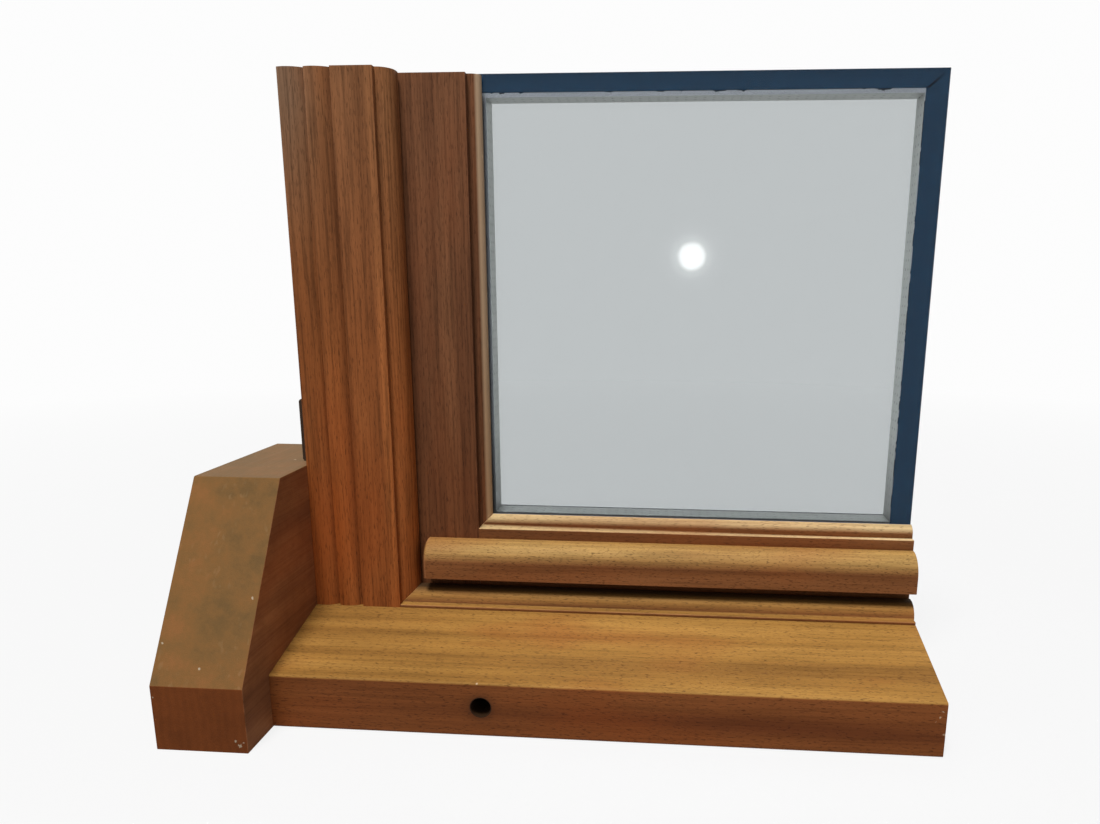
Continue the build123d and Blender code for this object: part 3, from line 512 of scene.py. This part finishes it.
def pane_glass():
    """Clear float glass, faintly grey, that lets the lamps' light through."""
    material, tree, shader = new_material("float glass")
    shader.inputs["Base Color"].default_value = (0.715, 0.735, 0.74, 1)
    shader.inputs["Transmission Weight"].default_value = 1
    shader.inputs["IOR"].default_value = 1.3
    shader.inputs["Roughness"].default_value = 0.0
    shader.inputs["Specular IOR Level"].default_value = 0.12
    rays = tree.nodes.new("ShaderNodeLightPath")
    clear = tree.nodes.new("ShaderNodeBsdfTransparent")
    clear.inputs["Color"].default_value = (0.8, 0.82, 0.825, 1)
    mix_surface(tree, rays.outputs["Is Shadow Ray"], shader.outputs[0], clear.outputs[0])
    return material


def mottled(name, first, second, scale, rough, metallic=0.0, bump=0.0, along=None, specular=0.5):
    """Plain stuff with a mottled colour, an uneven sheen and a fine bump, streaked if asked."""
    material, tree, shader = new_material(name)
    place = grain_place(tree, along or "Z", (0, 0, 0))
    grain = stretched_noise(tree, place, scale, 30 if along else 1, Detail=4, Roughness=0.6)
    tree.links.new(ramp(tree, grain, [(0.3, first), (0.7, second)]), shader.inputs["Base Color"])
    sheen = ramp(tree, grain, [(0.3, rough - 0.06), (0.7, rough + 0.08)])
    tree.links.new(sheen, shader.inputs["Roughness"])
    shader.inputs["Metallic"].default_value = metallic
    shader.inputs["Specular IOR Level"].default_value = specular
    relief(tree, shader, grain, bump, 0.0004)
    return material


def spacer_metal(name, along):
    """Mill-finish spacer bar, with its slots, painted highlight and shade, and smear."""
    bar = mottled(name, (0.58, 0.61, 0.58), (0.7, 0.73, 0.7), 500, 0.4, 0.35, 0.1, along)
    return retouch(bar, perforated_spacer)


def seen_rays(tree):
    """1 for what is seen straight, in gloss or through glass, and 0 for the light that falls."""
    rays = tree.nodes.new("ShaderNodeLightPath")
    seen = rays.outputs["Is Camera Ray"]
    for name in ("Is Glossy Ray", "Is Transmission Ray"):
        seen = sums(tree, "MAXIMUM", seen, rays.outputs[name])
    unscattered = sums(tree, "LESS_THAN", rays.outputs["Diffuse Depth"], 0.5)
    return sums(tree, "MULTIPLY", seen, unscattered)


def surround(name, near_share, far_from, far_to):
    """Pale floor that keeps soft shadows near the object and runs out into the white room."""
    material, tree, shader = new_material(name)
    seen = seen_rays(tree)
    tree.links.new(ramp(tree, seen, [(0.0, 0.3), (1.0, 0.68)]), shader.inputs["Base Color"])
    shader.inputs["Roughness"].default_value = 0.9
    shader.inputs["Specular IOR Level"].default_value = 0.0
    glow = tree.nodes.new("ShaderNodeEmission")
    glow.inputs["Color"].default_value = (surround_white, surround_white, surround_white, 1)
    reach = sums(tree, "DIVIDE", distance(tree, object_place(tree), (0, 0, 0)), far_to)
    share = ramp(tree, reach, [(far_from / far_to, near_share), (1.0, 1.0)])
    mix_surface(tree, sums(tree, "MULTIPLY", seen, share), shader.outputs[0], glow.outputs[0])
    return material


# Stains, each as pale, middle and dark; the paler sets for upward faces are painted light from above
jamb_stain = ((0.33, 0.098, 0.025), (0.26, 0.074, 0.018), (0.183, 0.05, 0.012))
bar_stain = ((0.285, 0.112, 0.04), (0.22, 0.082, 0.027), (0.15, 0.052, 0.018))
sill_stain = ((0.29, 0.094, 0.027), (0.225, 0.069, 0.019), (0.16, 0.045, 0.013))
stile_stain = ((0.19, 0.07, 0.027), (0.147, 0.052, 0.02), (0.103, 0.034, 0.013))
dowel_stain = ((0.34, 0.11, 0.033), (0.265, 0.08, 0.023), (0.18, 0.05, 0.015))
# Paler colours for upward faces of the sill, rails and weather bar: painted light from above
rail_top_lit = ((0.44, 0.225, 0.054), (0.355, 0.174, 0.039), (0.27, 0.126, 0.028))
bar_top_lit = ((0.55, 0.33, 0.11), (0.46, 0.265, 0.08), (0.36, 0.19, 0.054))
lip_top_lit = ((0.8, 0.58, 0.3), (0.68, 0.48, 0.24), (0.52, 0.35, 0.16))
foot_stain = ((0.33, 0.11, 0.036), (0.28, 0.092, 0.03), (0.22, 0.07, 0.024))
cleat_stain = ((0.085, 0.055, 0.038), (0.06, 0.037, 0.025), (0.035, 0.021, 0.014))

# Finishes: boards, then the other stuffs
jamb_timber = timber("jamb timber", "Z", (0.3, 0.1, 0), jamb_stain, 0.48, shade_and_grime=0.1)
sill_timber = timber("sill timber", "X", (1.2, 0.7, 0.4), sill_stain, 0.5, grain=0.42, pore=0.6,
                     pore_length=6, top_lit=rail_top_lit)
frame_rail_timber = timber("frame rail timber", "X", (2.2, 1.7, 0.1), bar_stain, 0.48, grain=0.5,
                           pore_length=7, top_lit=rail_top_lit)
stile_timber = timber("stile timber", "Z", (3.1, 2.6, 0.2), stile_stain, 0.5)
sash_rail_timber = timber("sash rail timber", "X", (4.1, 0.6, 1.2), bar_stain, 0.48, grain=0.5,
                          pore_length=7, top_lit=lip_top_lit)
bar_timber = timber("weather bar timber", "X", (5.3, 3.6, 1.2), bar_stain, 0.46, grain=0.5,
                    pore=0.6, pore_length=5, top_lit=bar_top_lit)
foot_timber = timber("foot timber", "Y", (6.3, 3.1, 2.2), foot_stain, 0.66, grain=0.35, pore=0.12,
                     shade_and_grime=0.2, end_shade=0.85)

finishes = {
    "jamb": retouch(jamb_timber, jamb_lit_rounds_and_grey_top),
    "sill": retouch(sill_timber, drained_sill),
    "rail": retouch(frame_rail_timber, rail_lip),
    "pin": timber("dowel timber", "Y", (8.2, 1.7, 0.1), dowel_stain, 0.55),
    "stile": retouch(stile_timber, stile_lip),
    "bead": timber("glazing bead timber", "Z", (9.1, 2.6, 0.2), stile_stain, 0.5),
    "bead_along": timber("bottom bead timber", "X", (9.6, 0.6, 2.2), stile_stain, 0.5),
    "sash_rail": retouch(sash_rail_timber, sash_rail_lip),
    "bar": bar_timber,
    "foot": retouch(foot_timber, dusty_foot_with_lit_sides),
    "cleat": timber("cleat timber", "Z", (7.3, 1.1, 2.0), cleat_stain, 0.6),
    "glass": pane_glass(),
    "seal": mottled("edge sealant", (0.0025, 0.031, 0.073), (0.005, 0.039, 0.088), 180, 0.6,
                    bump=0.25, specular=0.08),
    "spacer": spacer_metal("mill-finish spacer", "X"),
    "spacer_up": spacer_metal("mill-finish spacer, upright", "Z"),
    "plastic": mottled("black moulded plastic", (0.02, 0.02, 0.02), (0.04, 0.04, 0.04), 400, 0.45,
                       bump=0.1),
    "foam": mottled("grey glazing tape", (0.13, 0.13, 0.14), (0.19, 0.19, 0.2), 900, 0.85, bump=0.4),
    "gasket": mottled("black gasket rubber", (0.015, 0.014, 0.013), (0.03, 0.028, 0.026), 350, 0.6,
                      bump=0.2),
    "steel": mottled("brushed zinc-plated steel", (0.5, 0.5, 0.49), (0.66, 0.66, 0.64), 700, 0.32,
                     1.0, 0.15, "Z"),
    "surround": surround("pale surround", 0.84, 0.5, 2.0),
}
node_finish = {
    "support_foot": "foot", "foot_screws": "steel", "fixing_cleat": "cleat", "frame_jamb": "jamb",
    "frame_pin": "pin", "frame_bottom_rail": "rail", "sill": "sill", "frame_gasket": "gasket",
    "lower_hinge_frame_leaf": "steel", "upper_hinge_frame_leaf": "steel", "lower_hinge_pin": "steel",
    "upper_hinge_pin": "steel", "frame_hinge_screws": "steel", "sash_stile": "stile",
    "sash_bottom_rail": "sash_rail", "sash_pins": "pin", "weather_bar": "bar", "outer_pane": "glass",
    "inner_pane": "glass", "spacer_left": "spacer_up", "spacer_right": "spacer_up",
    "spacer_bottom": "spacer", "spacer_top": "spacer", "spacer_keys": "plastic",
    "edge_seal_left": "seal", "edge_seal_right": "seal", "edge_seal_bottom": "seal",
    "edge_seal_top": "seal", "setting_blocks": "plastic", "outer_glazing_tape": "foam",
    "inner_glazing_tape": "foam", "glazing_bead_upright": "bead", "glazing_bead_bottom": "bead_along",
    "lower_hinge_sash_leaf": "steel", "upper_hinge_sash_leaf": "steel", "sash_hinge_screws": "steel",
}
for node_name, finish in node_finish.items():
    slots = nodes[node_name].data.materials
    slots.clear()
    slots.append(finishes[finish])


# Modelling helpers

def select_only(piece):
    """Deselects everything, then selects one piece and makes it active."""
    bpy.ops.object.select_all(action="DESELECT")
    piece.hide_set(False)
    piece.select_set(True)
    bpy.context.view_layer.objects.active = piece


def body_of_node(node_name):
    """Body that a node belongs to, as the record has it."""
    for body, members in frame["record"]["behaviour"]["bodies"].items():
        if node_name in members:
            return body


def stands_for(piece, node_name):
    """Shows the piece in place of a node, on that node's body."""
    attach(piece, body_of_node(node_name))
    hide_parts(node_name)


def merged_copy(node_name, name, splits=()):
    """Copy of a node with its triangles joined into whole flat faces, but for a seam at each split."""
    source = nodes[node_name]
    piece = source.copy()
    piece.data = source.data.copy()
    piece.name = name
    bpy.context.collection.objects.link(piece)
    piece.parent = None
    piece.matrix_world = Matrix.Identity(4)
    select_only(piece)
    bpy.ops.object.mode_set(mode="EDIT")
    bpy.ops.mesh.select_all(action="SELECT")
    bpy.ops.mesh.remove_doubles(threshold=0.00001)
    for height in splits:
        bpy.ops.mesh.select_all(action="SELECT")
        bpy.ops.mesh.bisect(plane_co=(0, 0, height), plane_no=(0, 0, 1))
        bpy.ops.mesh.mark_seam()
    bpy.ops.mesh.select_all(action="SELECT")
    bpy.ops.mesh.dissolve_limited(angle_limit=math.radians(0.6), delimit={"SEAM"})
    bpy.ops.object.mode_set(mode="OBJECT")
    return piece


def select_faces(piece, wanted):
    """Selects, in edit mode, the faces that the test passes."""
    bpy.ops.object.mode_set(mode="EDIT")
    bpy.ops.mesh.select_mode(type="FACE")
    bpy.ops.mesh.select_all(action="DESELECT")
    bpy.ops.object.mode_set(mode="OBJECT")
    for face in piece.data.polygons:
        face.select = wanted(face)
    bpy.ops.object.mode_set(mode="EDIT")


def bedded(node_name, lap=0):
    """Copy of a seal set into the faces of the panes, as wet sealant is, and lapping its spacer."""
    piece = merged_copy(node_name, "bedded_" + node_name)
    for side in (-1, 1):
        select_faces(piece, lambda face: face.normal.y * side > 0.9)
        bpy.ops.transform.translate(value=(0, side * seal_bed, 0))
    if lap:
        select_faces(piece, lambda face: face.normal.x < -0.9)
        bpy.ops.transform.translate(value=(-lap, 0, 0))
    bpy.ops.object.mode_set(mode="OBJECT")
    stands_for(piece, node_name)


def smoothed(piece):
    """Smooth shading over the curves and the arrises, with the broad faces kept flat."""
    bpy.ops.object.shade_smooth_by_angle(angle=math.radians(32))
    flatness = piece.modifiers.new("flat faces", "WEIGHTED_NORMAL")
    flatness.mode = "FACE_AREA"
    flatness.weight = 100
    flatness.keep_sharp = True
    bpy.ops.object.modifier_apply(modifier=flatness.name)


def splayed(piece, place, outward):
    """Planes a slope on a bead: what lies beyond the place, along the outward direction, goes."""
    select_only(piece)
    bpy.ops.object.mode_set(mode="EDIT")
    bpy.ops.mesh.select_all(action="SELECT")
    bpy.ops.mesh.bisect(plane_co=place, plane_no=outward, use_fill=True, clear_outer=True)
    bpy.ops.object.mode_set(mode="OBJECT")
    smoothed(piece)


def rim_length(piece, face):
    """Length of the way round a face."""
    corners = [piece.data.vertices[index].co for index in face.vertices]
    return sum((second - first).length for first, second in zip(corners, corners[1:] + corners[:1]))


def eased(node_name, radius, sharp=40, splits=()):
    """Copy of a node with its outer arrises rounded, and those narrow faces marked for wear."""
    piece = merged_copy(node_name, "eased_" + node_name, splits)
    bpy.ops.object.mode_set(mode="EDIT")
    bpy.ops.mesh.select_mode(type="EDGE")
    bpy.ops.mesh.select_all(action="DESELECT")
    edges = bmesh.from_edit_mesh(piece.data)
    for edge in edges.edges:
        if edge.is_manifold and edge.calc_face_angle_signed() > math.radians(sharp):
            edge.select_set(True)
    bmesh.update_edit_mesh(piece.data)
    bpy.ops.mesh.bevel(offset=radius, segments=2, affect="EDGES", clamp_overlap=True)
    bpy.ops.object.mode_set(mode="OBJECT")
    narrow = []
    for face in piece.data.polygons:
        slender = face.area < rim_length(piece, face) * radius / 2
        narrow.append(float(face.select and slender))
    arris = piece.data.attributes.new("arris", "FLOAT", "FACE")
    arris.data.foreach_set("value", narrow)
    smoothed(piece)
    stands_for(piece, node_name)
    return piece


def cut_recess(screw, size):
    """Cuts a block of the size out of the middle of a screw's head."""
    bpy.ops.mesh.primitive_cube_add(size=1, location=(0, 0, 0))
    blade = bpy.context.active_object
    blade.scale = size
    bpy.ops.object.transform_apply(location=False, rotation=False, scale=True)
    recess = screw.modifiers.new("recess", "BOOLEAN")
    recess.operation = "DIFFERENCE"
    recess.solver = "EXACT"
    recess.object = blade
    select_only(screw)
    bpy.ops.object.modifier_apply(modifier=recess.name)
    bpy.data.objects.remove(blade)


def cross_headed_screw(head_radius, head_height, shank_radius, length, countersunk):
    """A screw with a cross recess, its head's top at the origin and its shank down -Z."""
    bpy.ops.object.select_all(action="DESELECT")
    middle = (0, 0, -head_height / 2)
    if countersunk:
        bpy.ops.mesh.primitive_cone_add(vertices=32, radius1=shank_radius, radius2=head_radius,
                                        depth=head_height, location=middle)
    else:
        bpy.ops.mesh.primitive_cylinder_add(vertices=32, radius=head_radius, depth=head_height,
                                            location=middle)
    screw = bpy.context.active_object
    select_faces(screw, lambda face: face.normal.z < -0.9)
    if not countersunk:
        bpy.ops.mesh.inset(thickness=head_radius - shank_radius)
    bpy.ops.mesh.extrude_region_move(TRANSFORM_OT_translate={"value": (0, 0, -length)})
    bpy.ops.mesh.extrude_region_move(TRANSFORM_OT_translate={"value": (0, 0, -shank_radius)})
    bpy.ops.transform.resize(value=(0.4, 0.4, 1))
    select_faces(screw, lambda face: face.normal.z > 0.9)
    rounding = head_radius * (0.06 if countersunk else 0.28)
    bpy.ops.mesh.bevel(offset=rounding, segments=3, affect="EDGES")
    bpy.ops.object.mode_set(mode="OBJECT")
    bpy.ops.object.select_all(action="DESELECT")
    for wide, deep in ((1.25, 0.26), (0.26, 1.25)):
        cut_recess(screw, (head_radius * wide, head_radius * deep, head_height * 1.1))
    select_only(screw)
    bpy.ops.object.shade_smooth_by_angle(angle=math.radians(35))
    return screw


def screw_set(name, node_name, pattern, places, turn):
    """The screws of one node, each a copy of the pattern turned and put in its place."""
    copies = []
    for place in places:
        screw = pattern.copy()
        screw.data = pattern.data.copy()
        bpy.context.collection.objects.link(screw)
        driven = Matrix.Rotation(random.uniform(0, math.pi), 4, "Z")
        screw.data.transform(Matrix.Translation(place) @ turn @ driven)
        copies.append(screw)
    bpy.ops.object.select_all(action="DESELECT")
    for screw in copies:
        screw.select_set(True)
    bpy.context.view_layer.objects.active = copies[0]
    bpy.ops.object.join()
    piece = bpy.context.active_object
    piece.name = name
    piece.data.materials.clear()
    piece.data.materials.append(finishes["steel"])
    stands_for(piece, node_name)


# Pieces: timber, hinges, gasket, seals and screws

for timber_name in ("sill", "frame_jamb", "frame_bottom_rail", "sash_stile", "sash_bottom_rail",
                    "weather_bar"):
    eased(timber_name, planed_arris)
splayed(eased("glazing_bead_upright", planed_arris), upright_bead_splay, (1, splay_slope, 0))
splayed(eased("glazing_bead_bottom", planed_arris), bottom_bead_splay, (0, splay_slope, 1))
eased("support_foot", worn_arris, splits=[height for across, deep, height in foot_screw_places])
eased("fixing_cleat", worn_arris)
for metal_name in ("lower_hinge_frame_leaf", "upper_hinge_frame_leaf", "lower_hinge_sash_leaf",
                   "upper_hinge_sash_leaf", "lower_hinge_pin", "upper_hinge_pin"):
    eased(metal_name, metal_arris)
eased("frame_gasket", rubber_arris)
for side in ("left", "bottom", "top"):
    bedded("edge_seal_" + side)
bedded("edge_seal_right", seal_lap)

hinge_screw = cross_headed_screw(**hinge_screw_sizes)
towards_room = Matrix.Rotation(math.radians(-90), 4, "X")
screw_set("hinge_screws_in_frame", "frame_hinge_screws", hinge_screw, frame_hinge_screw_places,
          towards_room)
screw_set("hinge_screws_in_sash", "sash_hinge_screws", hinge_screw, sash_hinge_screw_places,
          towards_room)
foot_screw = cross_headed_screw(**foot_screw_sizes)
outwards = Matrix.Rotation(math.radians(-90), 4, "Y")
screw_set("screws_in_foot", "foot_screws", foot_screw, foot_screw_places, outwards)
for pattern in (hinge_screw, foot_screw):
    bpy.data.objects.remove(pattern)


# Floor, room, lamps and camera

bpy.ops.object.select_all(action="DESELECT")
bpy.ops.mesh.primitive_plane_add(size=60, location=(0, 0, 0))
floor = bpy.context.active_object
floor.name = "floor"
floor.data.materials.append(finishes["surround"])

world = bpy.data.worlds.new("pale room")
world.use_nodes = True
room = world.node_tree.nodes["Background"]
room.inputs["Color"].default_value = (1, 1, 1, 1)
level = add_node(world.node_tree, "ShaderNodeMapRange")
level.inputs["To Min"].default_value = room_light
level.inputs["To Max"].default_value = surround_white
world.node_tree.links.new(seen_rays(world.node_tree), level.inputs["Value"])
world.node_tree.links.new(level.outputs["Result"], room.inputs["Strength"])
bpy.context.scene.world = world


def area_lamp(name, place, aim, size, power):
    """A round area lamp that looks at the place it is aimed at."""
    bpy.ops.object.light_add(type="AREA", location=place)
    lamp = bpy.context.active_object
    lamp.name = name
    lamp.data.shape = "DISK"
    lamp.data.size = size
    lamp.data.energy = power
    lamp.rotation_euler = (Vector(aim) - Vector(place)).to_track_quat("-Z", "Y").to_euler()
    return lamp


def soften_rim(lamp):
    """Brightest at the lamp's middle and nothing at its rim, so that its glint has no hard edge."""
    lamp.data.use_nodes = True
    tree = lamp.data.node_tree
    spread = tree.nodes.new("ShaderNodeNewGeometry").outputs["Parametric"]
    away = distance(tree, spread, (0.5, 0.5, 0))
    fall = ramp(tree, away, [(0.0, 1.0), (0.15, 0.9), (0.2, 0.2), (0.32, 0.03), (0.5, 0.0)])
    tree.links.new(fall, tree.nodes["Emission"].inputs["Strength"])


area_lamp("overhead lamp", overhead_place, overhead_aim, 1.2, overhead_power)
area_lamp("key lamp", key_place, key_aim, 0.25, key_power)
soften_rim(area_lamp("flash", flash_place, flash_aim, 0.1, flash_power))

camera_data = bpy.data.cameras.new("camera")
camera = bpy.data.objects.new("camera", camera_data)
bpy.context.collection.objects.link(camera)
camera_data.sensor_width = sensor_width
camera_data.lens = focal_pixels * sensor_width / image_width
camera_data.shift_x = (image_width / 2 - centre_pixels[0]) / image_width
camera_data.shift_y = (centre_pixels[1] - image_height / 2) / image_width
camera_data.clip_start = 0.01
turn = Matrix.Identity(4)
for axis, degrees in camera_turns.items():
    turn = turn @ Matrix.Rotation(math.radians(degrees), 4, axis)
turn = turn @ Matrix.Rotation(math.radians(90), 4, "X")
camera.matrix_world = Matrix.Translation(camera_place) @ turn
bpy.context.scene.camera = camera
bpy.context.scene.view_settings.view_transform = "Standard"
